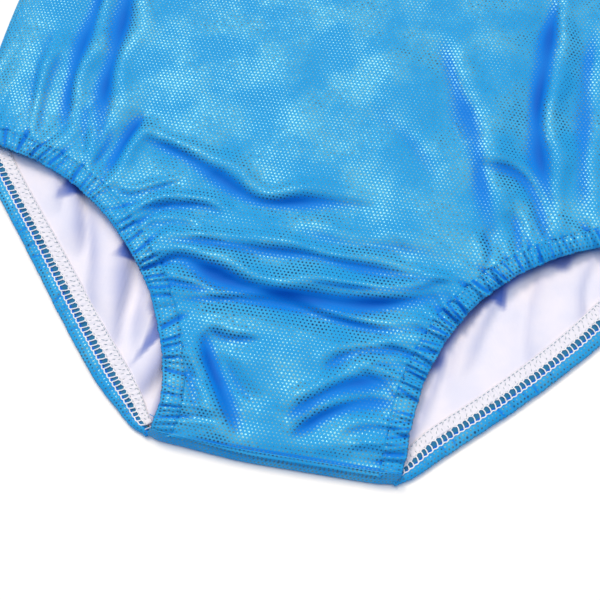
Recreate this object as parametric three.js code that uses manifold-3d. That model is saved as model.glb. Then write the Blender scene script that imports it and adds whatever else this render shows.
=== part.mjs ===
// A gymnastics leotard: a sleeveless stretch garment lying flat, front up, neck towards +Y.
// Millimetres, +Z up. The origin is at the middle of the garment's rest on the floor.
// "left" and "right" are the wearer's, so left is +X while the garment lies on its back.
import * as THREE from 'three';
import { mergeVertices } from 'three/addons/utils/BufferGeometryUtils.js';
import Module from 'manifold-3d';

const wasm = await Module();
wasm.setup();

// ---- driving dimensions ----
const overallLength = 580; // crotch edge to the top of the shoulders
const crotchWidth = 97;
const hipWidth = 302;
const waistWidth = 262;
const chestWidth = 280;
const legRise = 120; // crotch edge up to the foot of the side seam
const underarmDrop = 150; // top of the shoulder down to the underarm
const neckWidth = 104;
const strapWidth = 42;
const shoulderSlope = 8;
const frontNeckDrop = 86;
const backNeckDrop = 42;

const shellThickness = 0.6; // foil-dot stretch knit
const liningThickness = 0.4;
const cavityHeight = 8; // loft between the two linings as the garment lies
const elasticWidth = 6; // in the turned hem round every opening
const elasticThickness = 0.8;
const hemWall = 0.5;
const hemThickness = 2.4;
const hemAllowance = 1.2; // cloth between the elastic and the hem's inner border
const seamWidth = 1.5;
const threadWidth = 0.7;
const threadThickness = 0.4;
const bandWidth = 4.8; // stitched edge band of the lining round the back of each leg
const gussetLength = 78;
const gussetMargin = 3; // gusset's edge in from the hems beside it
const labelWidth = 34;
const labelLength = 22;
const labelThickness = 0.4;
const labelOverlap = 4; // how far the label reaches over the neck hem
const gap = 0.3; // clearance between pieces that touch
const hemWidth = hemWall + gap + elasticWidth + hemAllowance;

// ---- heights of the layers, from the floor up ----
const backShellBase = 0;
const backLiningBase = backShellBase + shellThickness + gap;
const cavityBase = backLiningBase + liningThickness;
const frontLiningBase = cavityBase + cavityHeight;
const frontShellBase = frontLiningBase + liningThickness + gap;
const frontShellTop = frontShellBase + shellThickness;
const frontHemBase = frontShellTop - hemThickness;
const backHemBase = backShellBase;
const backHemTop = backHemBase + hemThickness;

// ---- colours ----
const foilBlue = { color: 0x4fa9e2, roughness: 0.35, metalness: 0.3 };
const liningWhite = { color: 0xe4e6f6, roughness: 0.85, metalness: 0 };
const gussetWhite = { color: 0xf1f0ee, roughness: 0.9, metalness: 0 };
const elasticWhite = { color: 0xf4f4f6, roughness: 0.7, metalness: 0 };
const blueThread = { color: 0x2f7fc4, roughness: 0.6, metalness: 0 };
const whiteThread = { color: 0xf8f8fa, roughness: 0.6, metalness: 0 };

const group = new THREE.Group();

function addPiece(name, geometry, look) {
  const mesh = new THREE.Mesh(geometry, new THREE.MeshStandardMaterial(look));
  mesh.name = name;
  group.add(mesh);
  return mesh;
}

// ---- solids ----

function toManifold(geometry) {
  const bare = geometry.clone();
  bare.deleteAttribute('normal');
  bare.deleteAttribute('uv');
  const merged = mergeVertices(bare, 1e-4);
  return new wasm.Manifold(new wasm.Mesh({
    numProp: 3,
    vertProperties: Float32Array.from(merged.attributes.position.array),
    triVerts: Uint32Array.from(merged.index.array),
  }));
}

function toGeometry(solid) {
  const mesh = solid.getMesh();
  const geometry = new THREE.BufferGeometry();
  geometry.setAttribute('position', new THREE.BufferAttribute(mesh.vertProperties, 3));
  geometry.setIndex(new THREE.BufferAttribute(mesh.triVerts, 1));
  return geometry;
}

function joined(...geometries) {
  const solids = geometries.map(toManifold);
  return toGeometry(solids.reduce((sum, solid) => sum.add(solid)));
}

function cut(geometry, cutters) {
  const blank = toManifold(geometry);
  return toGeometry(cutters.map(toManifold).reduce((rest, cutter) => rest.subtract(cutter), blank));
}

function box(x, y, z) {
  const block = new THREE.BoxGeometry(x[1] - x[0], y[1] - y[0], z[1] - z[0]);
  return block.translate((x[0] + x[1]) / 2, (y[0] + y[1]) / 2, (z[0] + z[1]) / 2);
}

// A section drawn as (inset from the edge, height) is carried along an edge of the garment.
// Stations are points of the edge with the direction into the garment at each.
function sweep(section, stations) {
  const corners = section.length;
  const positions = stations.flatMap(({ point, inward }) => section.flatMap(([inset, height]) => [
    point.x + inward.x * inset,
    point.y + inward.y * inset,
    height,
  ]));
  const faces = [];
  for (let station = 0; station + 1 < stations.length; station += 1) {
    for (let corner = 0; corner < corners; corner += 1) {
      const here = station * corners + corner;
      const next = station * corners + (corner + 1) % corners;
      faces.push([here, next, next + corners], [here, next + corners, here + corners]);
    }
  }
  const last = (stations.length - 1) * corners;
  const outline = section.map(([inset, height]) => new THREE.Vector2(inset, height));
  for (const [a, b, c] of THREE.ShapeUtils.triangulateShape(outline, [])) {
    faces.push([a, c, b], [last + a, last + b, last + c]);
  }
  const geometry = new THREE.BufferGeometry();
  geometry.setAttribute('position', new THREE.Float32BufferAttribute(positions, 3));
  geometry.setIndex(faces.flat());
  return facingOut(geometry);
}

function facingOut(geometry) {
  const { position } = geometry.attributes;
  const index = geometry.index.array;
  const [a, b, c] = [new THREE.Vector3(), new THREE.Vector3(), new THREE.Vector3()];
  let volume = 0;
  for (let i = 0; i < index.length; i += 3) {
    a.fromBufferAttribute(position, index[i]);
    b.fromBufferAttribute(position, index[i + 1]);
    c.fromBufferAttribute(position, index[i + 2]);
    volume += a.dot(b.cross(c));
  }
  if (volume < 0) geometry.setIndex(Array.from(index).reverse());
  return geometry;
}

function rectangle(insets, heights) {
  return [
    [insets[0], heights[0]],
    [insets[1], heights[0]],
    [insets[1], heights[1]],
    [insets[0], heights[1]],
  ];
}

// ---- the garment's edges, drawn for the wearer's left (+X), y up from the crotch edge ----

const crotchCorner = new THREE.Vector2(crotchWidth / 2, 0);
const hipCorner = new THREE.Vector2(hipWidth / 2, legRise);
const underarm = new THREE.Vector2(chestWidth / 2, overallLength - underarmDrop);
const waistY = legRise + (underarm.y - legRise) * 0.6;
const neckCorner = new THREE.Vector2(neckWidth / 2, overallLength);
const strapCorner = new THREE.Vector2(neckWidth / 2 + strapWidth, overallLength - shoulderSlope);

function between(from, to, across, along) {
  return new THREE.Vector2(from.x + (to.x - from.x) * across, from.y + (to.y - from.y) * along);
}

const frontLegEdge = new THREE.CubicBezierCurve(
  crotchCorner,
  between(crotchCorner, hipCorner, -0.08, 0.48),
  between(crotchCorner, hipCorner, 0.33, 0.98),
  hipCorner,
);
const backLegEdge = new THREE.QuadraticBezierCurve(
  crotchCorner,
  between(crotchCorner, hipCorner, 0.53, 0.41),
  hipCorner,
);
const waistPoint = new THREE.Vector2(waistWidth / 2, waistY);
const hipToWaist = new THREE.CubicBezierCurve(
  hipCorner,
  between(hipCorner, waistPoint, -0.25, 0.75),
  between(hipCorner, waistPoint, 1, 0.62),
  waistPoint,
);
const waistToUnderarm = new THREE.CubicBezierCurve(
  waistPoint,
  between(waistPoint, underarm, 0, 0.4),
  between(waistPoint, underarm, 0.9, 0.6),
  underarm,
);
const armEdge = new THREE.CubicBezierCurve(
  underarm,
  between(underarm, strapCorner, 0.85, 0.02),
  between(underarm, strapCorner, 1.05, 0.4),
  strapCorner,
);
const shoulderEdge = new THREE.LineCurve(strapCorner, neckCorner);

function neckEdge(drop) {
  const bottom = new THREE.Vector2(0, overallLength - drop);
  return new THREE.CubicBezierCurve(
    neckCorner,
    between(neckCorner, bottom, 0.02, 0.6),
    between(neckCorner, bottom, 0.45, 1),
    bottom,
  );
}
const frontNeckEdge = neckEdge(frontNeckDrop);
const backNeckEdge = neckEdge(backNeckDrop);

const legSteps = 16;
const sideSteps = 8;
const armSteps = 12;
const neckSteps = 10;

// Points along an edge on one side of the garment, with the direction into it.
// The edges run anticlockwise on the left side, so inward is a quarter turn to the left.
function stationsOn(edge, steps, side) {
  return Array.from({ length: steps + 1 }, (_, step) => {
    const point = edge.getPointAt(step / steps);
    const tangent = edge.getTangentAt(step / steps);
    return {
      point: new THREE.Vector2(side.sign * point.x, point.y - overallLength / 2),
      inward: new THREE.Vector2(-side.sign * tangent.y, tangent.x),
    };
  });
}

// The stations, shortened by a distance along the edge, or made longer by a negative one.
function trimmed(stations, start, end = start) {
  const startCut = trimmedStart(stations, start);
  return trimmedStart(startCut.reverse(), end).reverse();
}

function trimmedStart(stations, distance) {
  const [first, second] = stations;
  const along = second.point.clone().sub(first.point);
  if (distance < 0) {
    const away = new THREE.Vector2(-first.inward.y, first.inward.x);
    away.multiplyScalar(Math.sign(away.dot(along)) * distance);
    return [{ point: first.point.clone().add(away), inward: first.inward }, ...stations];
  }
  if (distance > along.length()) return trimmedStart(stations.slice(1), distance - along.length());
  const share = distance / along.length();
  const start = {
    point: first.point.clone().lerp(second.point, share),
    inward: first.inward.clone().lerp(second.inward, share),
  };
  return [start, ...stations.slice(1)];
}

const sides = [{ name: 'left', sign: 1 }, { name: 'right', sign: -1 }];

// The whole neck edge runs from the left shoulder round to the right one.
function neckStations(edge) {
  const left = stationsOn(edge, neckSteps, sides[0]);
  const right = stationsOn(edge, neckSteps, sides[1]).reverse();
  return [...left, ...right.slice(1)];
}

const openings = [
  { name: 'neck', front: neckStations(frontNeckEdge), back: neckStations(backNeckEdge) },
  ...sides.flatMap((side) => [
    {
      name: `${side.name}_leg`,
      front: stationsOn(frontLegEdge, legSteps, side),
      back: stationsOn(backLegEdge, legSteps, side),
    },
    {
      name: `${side.name}_arm`,
      front: stationsOn(armEdge, armSteps, side),
      back: stationsOn(armEdge, armSteps, side),
    },
  ]),
];

function sideStations(side) {
  const lower = stationsOn(hipToWaist, sideSteps, side);
  const upper = stationsOn(waistToUnderarm, sideSteps, side);
  return [...lower, ...upper.slice(1)];
}

// ---- panels: the whole outline, less the hems and seams round it ----

const cutterHeights = [-1, frontShellTop + 1];
const cutterOverrun = 14; // how far each cutter runs past the ends of its edge
const outside = -3;
const hemReach = hemWidth + gap;
const seamReach = seamWidth + gap;

function outline(legEdge, neck) {
  const left = [
    ...legEdge.getSpacedPoints(legSteps),
    ...hipToWaist.getSpacedPoints(sideSteps).slice(1),
    ...waistToUnderarm.getSpacedPoints(sideSteps).slice(1),
    ...armEdge.getSpacedPoints(armSteps).slice(1),
    ...neck.getSpacedPoints(neckSteps),
  ];
  const right = left.slice(0, -1).reverse().map(({ x, y }) => new THREE.Vector2(-x, y));
  return new THREE.Shape([...left, ...right]);
}

function panelCutters(face) {
  const hem = rectangle([outside, hemReach], cutterHeights);
  const seam = rectangle([outside, seamReach], cutterHeights);
  const half = crotchWidth / 2 + cutterOverrun;
  const foot = -overallLength / 2;
  return [
    box([-half, half], [foot + outside, foot + seamReach], cutterHeights),
    ...openings.map((opening) => sweep(hem, trimmed(opening[face], -cutterOverrun))),
    ...openings.flatMap((opening) => elasticPosts(opening, gap)),
    ...sides.flatMap((side) => [
      sweep(seam, sideStations(side)),
      sweep(seam, stationsOn(shoulderEdge, 1, side)),
    ]),
  ];
}

const panelOutlines = {
  front: outline(frontLegEdge, frontNeckEdge),
  back: outline(backLegEdge, backNeckEdge),
};

function panel(face, base, thickness) {
  const blank = new THREE.ExtrudeGeometry(panelOutlines[face], {
    depth: thickness,
    bevelEnabled: false,
  });
  blank.translate(0, -overallLength / 2, base);
  return cut(blank, panelCutters(face));
}

function addPanels() {
  addPiece('back_shell', panel('back', backShellBase, shellThickness), foilBlue);
  addPiece('back_lining', panel('back', backLiningBase, liningThickness), liningWhite);
  addPiece('front_lining', panel('front', frontLiningBase, liningThickness), liningWhite);
  addPiece('front_shell', panel('front', frontShellBase, shellThickness), foilBlue);
}

// ---- seams that join the front to the back ----

function addSeams() {
  const wall = rectangle([0, seamWidth], [backShellBase, frontShellTop]);
  const foot = -overallLength / 2;
  const crotchWall = box(
    [-crotchWidth / 2, crotchWidth / 2],
    [foot, foot + seamWidth],
    [backShellBase, frontShellTop],
  );
  addPiece('crotch_seam', crotchWall, foilBlue);
  for (const side of sides) {
    const sideSeam = sweep(wall, trimmed(sideStations(side), hemReach));
    addPiece(`${side.name}_side_seam`, sideSeam, foilBlue);
    const shoulder = sweep(wall, trimmed(stationsOn(shoulderEdge, 1, side), hemReach));
    addPiece(`${side.name}_shoulder_seam`, shoulder, foilBlue);
  }
}

// ---- turned hems, open on the garment's side so that the elastic lies in them ----

function hemSection(base) {
  const top = base + hemThickness;
  return [
    [0, base],
    [hemWidth, base],
    [hemWidth, base + hemWall],
    [hemWall, base + hemWall],
    [hemWall, top - hemWall],
    [hemWidth, top - hemWall],
    [hemWidth, top],
    [0, top],
  ];
}

// Each opening's elastic turns from the front to the back in a post at both of its ends.
const postSize = 4;
const elasticInset = [hemWall + gap, hemWall + gap + elasticWidth];
const elasticTrim = seamReach + gap;
const postTrim = elasticTrim + postSize / 2;
const hemTrim = postTrim + postSize + gap;

function elasticHeights(base) {
  const low = base + (hemThickness - elasticThickness) / 2;
  return [low, low + elasticThickness];
}

function elasticArc(edge, base) {
  return sweep(rectangle(elasticInset, elasticHeights(base)), trimmed(edge, postTrim));
}

// The post fills the corner between the two ends of an elastic's arcs.
function elasticPosts({ front, back }, clearance) {
  const ends = [front, back].map((edge) => trimmed(edge, postTrim));
  const reach = postSize / 2 + clearance;
  const low = elasticHeights(backHemBase)[0] - clearance;
  const high = elasticHeights(frontHemBase)[1] + clearance;
  return [0, -1].map((end) => {
    const centre = new THREE.Vector2();
    for (const { point, inward } of [ends[0].at(end), ends[1].at(end)]) {
      centre.addScaledVector(point, 1 / 2).addScaledVector(inward, hemWidth / 4);
    }
    return box([centre.x - reach, centre.x + reach], [centre.y - reach, centre.y + reach], [low, high]);
  });
}

function elasticLoop(opening) {
  const arcs = [elasticArc(opening.front, frontHemBase), elasticArc(opening.back, backHemBase)];
  return joined(...arcs, ...elasticPosts(opening, 0));
}

function addOpening(opening) {
  addPiece(`${opening.name}_elastic`, elasticLoop(opening), elasticWhite);
  for (const face of hemFaces) {
    const stations = trimmed(opening[face.name], hemTrim);
    const name = `${opening.name}_${face.name}`;
    addPiece(`${name}_hem`, sweep(hemSection(face.base), stations), foilBlue);
    addPiece(`${name}_stitches`, stitchLine(stations, face), face.thread);
  }
}

// The line of stitches that holds a hem down lies just over its inner border.
function stitchLine(stations, face) {
  const middle = hemWidth - threadWidth;
  const base = face.base + hemThickness + gap;
  return sweep(
    rectangle([middle - threadWidth, middle], [base, base + threadThickness]),
    stations,
  );
}

const hemFaces = [
  { name: 'front', base: frontHemBase, thread: blueThread },
  { name: 'back', base: backHemBase, thread: whiteThread },
];

// ---- inside the garment ----

const insideBase = cavityBase + gap;

// A white band zigzagged over the lining's edge, next to the back hem of each leg.
function addLiningBands() {
  const insets = [hemReach, hemReach + bandWidth];
  const heights = [insideBase, insideBase + liningThickness];
  const needleHeights = [heights[1] + gap, heights[1] + gap + threadThickness];
  const needleInsets = [insets[1] - 2 * threadWidth, insets[1] - threadWidth];
  for (const side of sides) {
    const stations = trimmed(stationsOn(backLegEdge, legSteps, side), hemTrim);
    addPiece(`${side.name}_leg_lining_band`, sweep(rectangle(insets, heights), stations), elasticWhite);
    const needleLine = sweep(rectangle(needleInsets, needleHeights), stations);
    addPiece(`${side.name}_leg_band_stitches`, needleLine, whiteThread);
  }
}

function addGusset() {
  const foot = -overallLength / 2;
  const bandReach = hemReach + bandWidth + gap;
  const half = crotchWidth / 2 - gussetMargin;
  const blank = box(
    [-half, half],
    [foot + seamReach, foot + gussetLength],
    [insideBase, insideBase + liningThickness],
  );
  const clearance = rectangle([outside, bandReach + gussetMargin], cutterHeights);
  const cutters = sides.map((side) => {
    return sweep(clearance, trimmed(stationsOn(backLegEdge, legSteps, side), -cutterOverrun));
  });
  addPiece('crotch_gusset', cut(blank, cutters), gussetWhite);
}

// A blank label sewn by its top edge to the back neck hem, free to turn over.
function addNeckLabel() {
  const seamY = overallLength / 2 - backNeckDrop - hemWidth + labelOverlap;
  const base = backHemTop + 2 * gap + threadThickness;
  const half = labelWidth / 2;
  const label = box([-half, half], [seamY - labelLength, seamY], [base, base + labelThickness]);
  addPiece('neck_label', label, elasticWhite);
  const tackBase = backHemTop + gap;
  const tackInsets = [seamY + gap, seamY + gap + threadWidth];
  const tack = box([-half, half], tackInsets, [tackBase, tackBase + threadThickness]);
  addPiece('neck_label_stitches', tack, whiteThread);
}

addPanels();
addSeams();
openings.forEach(addOpening);
addLiningBands();
addGusset();
addNeckLabel();

export default group;
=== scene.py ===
import bpy
import numpy as np
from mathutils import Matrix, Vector


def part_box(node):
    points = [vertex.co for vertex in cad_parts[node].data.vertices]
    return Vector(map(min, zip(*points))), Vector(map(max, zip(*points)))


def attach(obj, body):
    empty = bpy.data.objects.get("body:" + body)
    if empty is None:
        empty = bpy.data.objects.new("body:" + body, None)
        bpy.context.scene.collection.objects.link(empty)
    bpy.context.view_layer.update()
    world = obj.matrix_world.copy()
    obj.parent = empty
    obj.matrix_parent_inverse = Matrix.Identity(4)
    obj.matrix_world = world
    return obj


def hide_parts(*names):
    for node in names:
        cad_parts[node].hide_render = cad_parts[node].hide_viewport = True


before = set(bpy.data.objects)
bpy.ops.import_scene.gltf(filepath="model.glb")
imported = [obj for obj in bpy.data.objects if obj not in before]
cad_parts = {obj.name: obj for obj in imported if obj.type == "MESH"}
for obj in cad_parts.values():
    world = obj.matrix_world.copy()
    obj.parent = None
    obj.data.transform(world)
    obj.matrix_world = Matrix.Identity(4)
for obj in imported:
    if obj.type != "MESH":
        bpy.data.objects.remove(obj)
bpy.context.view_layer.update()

MM = 0.001

# ---- the cut, from the frame ----


def corner(node, end):
    return np.array(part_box(node)[end]) / MM


FOOT = corner("crotch_seam", 0)[1]
LENGTH = -2 * FOOT
CROTCH_HALF = corner("crotch_seam", 1)[0]
HIP_HALF = corner("left_side_seam", 1)[0]
HEM_THICKNESS = corner("neck_back_hem", 1)[2] - corner("neck_back_hem", 0)[2]
HEM_WIDTH = 8.0
LEG_RISE = 120.0
WAIST_HALF = 131.0
CHEST_HALF = 140.0
UNDERARM_DROP = 150.0
NECK_HALF = 52.0
STRAP_WIDTH = 42.0
SHOULDER_SLOPE = 8.0
FRONT_NECK_DROP = 86.0
BACK_NECK_DROP = 42.0

CROTCH_CORNER = np.array([CROTCH_HALF, 0.0])
HIP_CORNER = np.array([HIP_HALF, LEG_RISE])
UNDERARM = np.array([CHEST_HALF, LENGTH - UNDERARM_DROP])
WAIST = np.array([WAIST_HALF, LEG_RISE + (UNDERARM[1] - LEG_RISE) * 0.6])
NECK_CORNER = np.array([NECK_HALF, LENGTH])
STRAP_CORNER = np.array([NECK_HALF + STRAP_WIDTH, LENGTH - SHOULDER_SLOPE])


def between(start, end, across, along):
    return start + (end - start) * np.array([across, along])


def distances(line):
    """How far along a line each of its points is."""
    return np.concatenate([[0], np.cumsum(np.linalg.norm(np.diff(line, axis=0), axis=1))])


def inward_of(line):
    """The unit direction to the left of a line, at each of its points."""
    tangent = np.gradient(line, axis=0)
    tangent /= np.linalg.norm(tangent, axis=1)[:, None]
    return np.stack([-tangent[:, 1], tangent[:, 0]], axis=1)


def evenly(points, step):
    """The same line with points a step apart."""
    run = distances(points)
    at = np.linspace(0, run[-1], max(2, int(round(run[-1] / step)) + 1))
    return np.stack([np.interp(at, run, points[:, axis]) for axis in range(points.shape[1])], axis=1)


def bezier(*controls):
    share = np.linspace(0, 1, 200)[:, None]
    level = [np.repeat(c[None, :], 200, axis=0) for c in controls]
    while len(level) > 1:
        level = [a * (1 - share) + b * share for a, b in zip(level, level[1:])]
    return level[0]


def smooth_line(points, step=1.5):
    """A Catmull-Rom curve through a few points."""
    points = np.array(points, float)
    ends = np.vstack([2 * points[0] - points[1], points, 2 * points[-1] - points[-2]])
    share = np.linspace(0, 1, 12, endpoint=False)[:, None]
    spans = []
    for a, b, c, d in zip(ends, ends[1:], ends[2:], ends[3:]):
        spans.append(0.5 * (2 * b + (c - a) * share + (2 * a - 5 * b + 4 * c - d) * share ** 2
                            + (3 * b - a - 3 * c + d) * share ** 3))
    return evenly(np.vstack(spans + [points[-1:]]), step)


def mirrored(line):
    """The wearer's right edge. It runs the other way, so that inward is still to its left."""
    return (line * np.array([-1, 1]))[::-1]


def neck_line(drop):
    bottom = np.array([0.0, LENGTH - drop])
    half = bezier(NECK_CORNER, between(NECK_CORNER, bottom, 0.02, 0.6),
                  between(NECK_CORNER, bottom, 0.45, 1), bottom)
    return np.vstack([half, mirrored(half)[1:]])


FRONT_LEG = bezier(CROTCH_CORNER, between(CROTCH_CORNER, HIP_CORNER, -0.08, 0.48),
                   between(CROTCH_CORNER, HIP_CORNER, 0.33, 0.98), HIP_CORNER)
BACK_LEG = bezier(CROTCH_CORNER, between(CROTCH_CORNER, HIP_CORNER, 0.53, 0.41), HIP_CORNER)
SIDE = np.vstack([
    bezier(HIP_CORNER, between(HIP_CORNER, WAIST, -0.25, 0.75),
           between(HIP_CORNER, WAIST, 1, 0.62), WAIST),
    bezier(WAIST, between(WAIST, UNDERARM, 0, 0.4), between(WAIST, UNDERARM, 0.9, 0.6), UNDERARM)[1:],
])
ARM = bezier(UNDERARM, between(UNDERARM, STRAP_CORNER, 0.85, 0.02),
             between(UNDERARM, STRAP_CORNER, 1.05, 0.4), STRAP_CORNER)
SHOULDER = np.array([STRAP_CORNER, NECK_CORNER])
FRONT_NECK = neck_line(FRONT_NECK_DROP)
BACK_NECK = neck_line(BACK_NECK_DROP)


def outline(leg, neck):
    left = np.vstack([leg, SIDE[1:], ARM[1:]])
    return np.vstack([left, neck, mirrored(left)])


# ---- distances on the flat cut ----


def nearest(points, line):
    """Distance to a line, distance along it, and which side of it (left is positive)."""
    best = np.full(len(points), 1e9)
    along = np.zeros(len(points))
    side = np.ones(len(points))
    run = 0.0
    for start, end in zip(line, line[1:]):
        span = end - start
        length = np.hypot(*span)
        offset = points - start
        share = np.clip((offset @ span) / length ** 2, 0, 1)
        gap = np.hypot(offset[:, 0] - share * span[0], offset[:, 1] - share * span[1])
        closer = gap < best
        best = np.where(closer, gap, best)
        along = np.where(closer, run + share * length, along)
        turn = span[0] * offset[:, 1] - span[1] * offset[:, 0]
        side = np.where(closer, np.sign(turn) + (turn == 0), side)
        run += length
    return best, along, side


def smoothstep(value):
    value = np.clip(value, 0, 1)
    return value * value * (3 - 2 * value)


def bump(value):
    return np.exp(-np.square(value))


def ripple(points, scale, seed):
    """Soft random swells, about -1 to 1, with the given wavelength."""
    rng = np.random.default_rng(seed)
    total = np.zeros(len(points))
    for _ in range(6):
        heading = rng.uniform(0, 2 * np.pi)
        wave = 2 * np.pi / (scale * rng.uniform(0.7, 1.5))
        swing = rng.uniform(0, 2 * np.pi)
        total += np.sin(wave * (points[:, 0] * np.cos(heading) + points[:, 1] * np.sin(heading)) + swing)
    return total / 3


# ---- folds: each is a line on the cut with the depth and width of its valley ----

# (points, depth, width, ridge): the ridge stands to the left of the line as a share of the depth.
# The lower body's folds lie where they seem to be if the front is taken to lie on the floor.
LOWER_FOLDS = [
    ([(-116, 226), (-119, 185), (-119, 155), (-114, 127)], 2.2, 3.8, 0.5),
    ([(-106, 236), (-104, 180), (-103, 154), (-97, 124)], 2.4, 4.6, 0.5),
    ([(-134, 190), (-135, 160), (-132, 126)], 0.9, 3.2, 0.4),
    ([(-126, 176), (-127, 152), (-124, 126)], 1.0, 2.4, -0.5),
    ([(-109, 152), (-107, 138), (-102, 122)], 1.1, 2.4, 0.6),
    ([(-83, 150), (-88, 134), (-92, 114)], 2.4, 3.6, 0.6),
    ([(-93, 140), (-95, 126), (-98, 116)], 1.2, 2.0, -0.5),
    ([(-84, 137), (-63, 131), (-45, 123), (-24, 114), (-3, 117), (26, 120)], 2.3, 3.6, 0.6),
    ([(-88, 112), (-78, 108), (-68, 113), (-56, 120)], 1.1, 1.8, 0.6),
    ([(-75, 101), (-60, 106), (-46, 108), (-34, 104)], 1.6, 2.8, 0.8),
    ([(-70, 94), (-56, 99), (-44, 98)], 1.0, 1.8, 0.7),
    ([(-66, 88), (-45, 92), (-18, 92), (1, 93), (24, 91), (66, 90)], 1.8, 2.8, 0.8),
    ([(-66, 76), (-52, 83), (-38, 79), (-23, 75), (-5, 74), (16, 74), (39, 78), (66, 87)], 3.6, 4.4, 0.8),
    ([(-58, 74), (-48, 72), (-34, 71)], 1.6, 2.0, 0.6),
    ([(-52, 65), (-27, 69), (-5, 70), (17, 67), (36, 66), (56, 71)], 2.0, 2.4, 0.7),
    ([(-4, 82), (20, 82), (44, 85), (62, 92)], 1.2, 1.8, 0.6),
    ([(-10, 105), (14, 101), (40, 102), (66, 100)], 0.9, 3.4, 0.5),
    ([(-36, 56), (-32, 42), (-24, 28), (-14, 12)], 2.6, 3.8, -0.6),
    ([(-42, 40), (-37, 30), (-33, 16)], 1.2, 2.6, -0.5),
    ([(-26, 44), (-20, 34), (-10, 26)], 1.0, 2.0, -0.5),
    ([(-36, 55), (-26, 52), (-12, 54)], 1.3, 2.2, 0.6),
    ([(0, 22), (14, 34), (27, 41), (46, 45)], 2.3, 3.6, 0.7),
    ([(3, 14), (15, 26), (29, 33), (46, 36)], 2.3, 3.4, 0.6),
    ([(12, 44), (26, 55), (48, 59)], 1.7, 2.8, 0.6),
    ([(22, 20), (34, 25), (46, 25)], 1.0, 1.8, 0.5),
    ([(30, 50), (40, 52), (50, 51)], 0.9, 1.6, 0.6),
    ([(26, 14), (36, 16), (46, 14)], 0.7, 1.5, 0.5),
    ([(89, 244), (86, 204), (85, 175), (89, 150), (99, 124)], 2.7, 4.4, 0.6),
    ([(38, 210), (51, 177), (60, 156), (67, 130), (77, 104)], 1.7, 5.4, 0.5),
    ([(62, 147), (79, 145), (89, 134), (96, 112)], 1.8, 3.6, 0.6),
    ([(80, 128), (84, 116), (86, 104)], 1.4, 2.2, 0.6),
    ([(70, 118), (74, 108), (74, 98)], 1.1, 1.8, -0.5),
    ([(107, 228), (105, 200), (106, 160), (110, 124)], 1.5, 4.4, 0.4),
    ([(126, 200), (124, 165), (121, 124)], 1.6, 4.0, 0.4),
    ([(138, 190), (136, 160), (134, 126)], 1.2, 3.2, 0.4),
    ([(12, 168), (32, 154), (50, 132)], 0.8, 5.5, 0.4),
]
# The upper body has loose folds from the underarms and across the waist.
UPPER_FOLDS = [
    ([(-118, 300), (-80, 288), (-38, 292), (4, 284)], 2.2, 4.5, 0.6),
    ([(118, 316), (84, 300), (40, 303), (0, 296)], 2.0, 4.2, -0.6),
    ([(-132, 424), (-104, 398), (-82, 360), (-74, 322)], 2.4, 4.4, 0.5),
    ([(131, 426), (108, 396), (90, 356), (84, 312)], 2.2, 4.6, -0.5),
    ([(-60, 268), (-20, 256), (30, 260), (70, 272)], 1.6, 4.0, 0.5),
    ([(-66, 470), (-58, 440), (-34, 418)], 1.2, 3.6, 0.4),
    ([(70, 466), (58, 436), (30, 412)], 1.3, 3.8, -0.4),
]
BACK_FOLDS = [
    ([(-82, 112), (-77, 74), (-70, 32)], 2.8, 3.4, 0.3),
    ([(-73, 96), (-66, 66), (-61, 36)], 1.8, 3.0, -0.3),
    ([(-46, 66), (-50, 40), (-58, 8)], 3.2, 3.2, 0.4),
    ([(-110, 122), (-102, 100), (-96, 74)], 2.6, 3.0, 0.4),
    ([(-96, 102), (-87, 68), (-82, 44)], 1.8, 3.2, -0.3),
    ([(-118, 124), (-112, 108), (-108, 92)], 1.6, 2.4, 0.3),
    ([(84, 104), (70, 76), (64, 48)], 1.4, 2.6, 0.4),
    ([(93, 106), (87, 76), (91, 52)], 1.0, 2.4, -0.3),
    ([(58, 70), (54, 40), (50, 16)], 1.5, 2.6, 0.4),
    ([(114, 118), (106, 92), (111, 68)], 1.3, 2.6, 0.4),
    ([(76, 92), (62, 64), (60, 40)], 0.8, 2.2, -0.3),
]


def on_raised_cloth(line):
    """Where a line of the folds lies on the front, which stands above the floor: nearer the middle and the
    crotch.
    """
    x, y = np.array(line, float).T
    fall = 3.0 + smoothstep((y - 40) / 20)
    return np.stack([0.975 * x, y - fall], axis=1)


FRONT_FOLDS = [(on_raised_cloth(line), *shape) for line, *shape in LOWER_FOLDS] + UPPER_FOLDS


def folded(points, folds):
    """The height that the folds add, and the painted shade that each point gets in and beside a valley, 0
    to 1.
    """
    height = np.zeros(len(points))
    shade = np.zeros(len(points))
    for line, depth, width, ridge in folds:
        line = smooth_line(line)
        reach = 5 * width
        near = np.all((points > line.min(0) - reach) & (points < line.max(0) + reach), axis=1)
        if not near.any():
            continue
        gap, along, side = nearest(points[near], line)
        length = distances(line)[-1]
        share = along / length
        taper = np.sqrt(smoothstep(share / 0.25) * smoothstep((1 - share) / 0.35))
        taper *= 0.88 + 0.12 * np.sin(along / 5.3 + length)
        spread = width * (0.6 + 0.4 * taper) * (1 + 0.2 * np.sin(along / 7.7 + depth))
        across = gap * side * np.sign(ridge) / spread
        valley = np.where(across > 0, bump(across / 0.95), bump(across / 2.3))
        crest = abs(ridge) * bump((across - 1.9) / 1.15)
        height[near] += depth * taper * (crest - valley)
        # Painted shade: in the valley, and spreading wider on the side away from its ridge.
        facing = np.where(across > 0.3, bump((across - 0.3) / 0.7), bump((across - 0.3) / 1.15))
        shade[near] = np.maximum(shade[near], facing * taper * min(1.0, depth / 2.8))
    return height, shade


# Gathers drawn up by the elastic: waves along an edge, which die away into the panel.
# (wavelength, height, reach)
GATHERS = [(3.1, 0.52, 3.4), (5.3, 0.50, 9.0), (10.5, 0.52, 14.0), (21.0, 0.70, 24.0)]
GATHER_REACH = 60.0


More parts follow.
